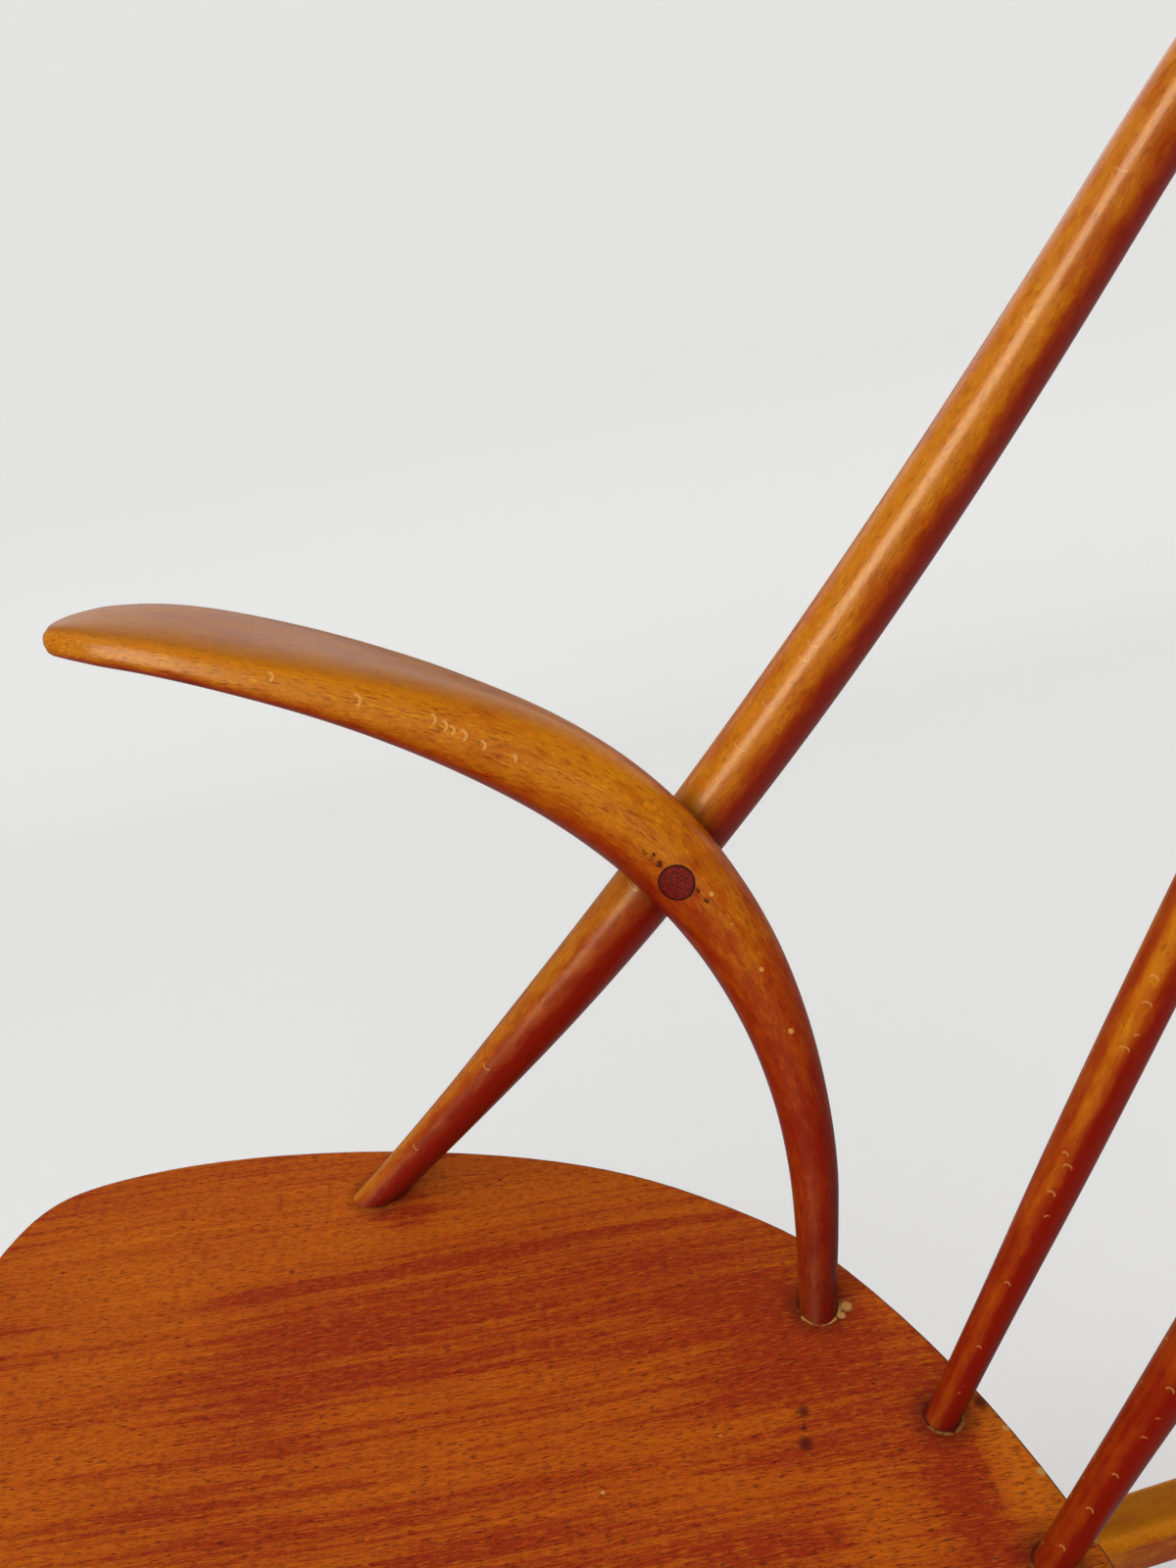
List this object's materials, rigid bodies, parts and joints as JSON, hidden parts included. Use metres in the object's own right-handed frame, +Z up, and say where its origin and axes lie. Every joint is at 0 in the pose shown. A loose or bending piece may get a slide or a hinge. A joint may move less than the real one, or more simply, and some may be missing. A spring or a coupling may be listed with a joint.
{
  "type": "hoop back rocking chair",
  "caption": "Wooden rocking chair with a bent hoop back, straight spindles, bent arms that cross the hoop, a shaped flat seat and splayed legs on curved rockers.",
  "frame": {"origin": "on the floor, under the middle of the chair's bounding box", "axes": "+Z up, the sitter faces -Y, the sitter's left arm is on +X"},
  "size_m": [0.6478, 0.7656, 0.9976],
  "materials": {
    "frame_wood": "beech, red brown stain under satin lacquer",
    "seat_veneer": "open grained red brown veneer, oiled",
    "plywood_core": "plywood with a stained edge",
    "rail_wood": "stained beech",
    "plug_wood": "dark red brown end plug, lacquered",
    "wedge_wood": "plain beech",
    "screw_steel": "plain steel"
  },
  "bodies": {
    "root": {"seat_core": "plywood_core", "seat_top_veneer": "seat_veneer", "seat_bottom_veneer": "seat_veneer", "hoop": "frame_wood", "front_seat_rail": "rail_wood", "rear_seat_rail": "rail_wood", "seat_rail_screws": "screw_steel", "spindle_1": "frame_wood", "spindle_2": "frame_wood", "spindle_3": "frame_wood", "spindle_4": "frame_wood", "spindle_5": "frame_wood", "arm_left": "frame_wood", "arm_right": "frame_wood", "arm_plug_left": "plug_wood", "arm_plug_right": "plug_wood", "arm_screw_left": "screw_steel", "arm_screw_right": "screw_steel", "arm_wedge_left": "wedge_wood", "arm_wedge_right": "wedge_wood", "hoop_wedge_left": "wedge_wood", "hoop_wedge_right": "wedge_wood", "rocker_left": "frame_wood", "rocker_right": "frame_wood", "rocker_pins": "wedge_wood", "front_left_leg": "frame_wood", "front_right_leg": "frame_wood", "rear_left_leg": "frame_wood", "rear_right_leg": "frame_wood", "front_stretcher": "frame_wood", "rear_stretcher": "frame_wood"}
  },
  "joints": []
}
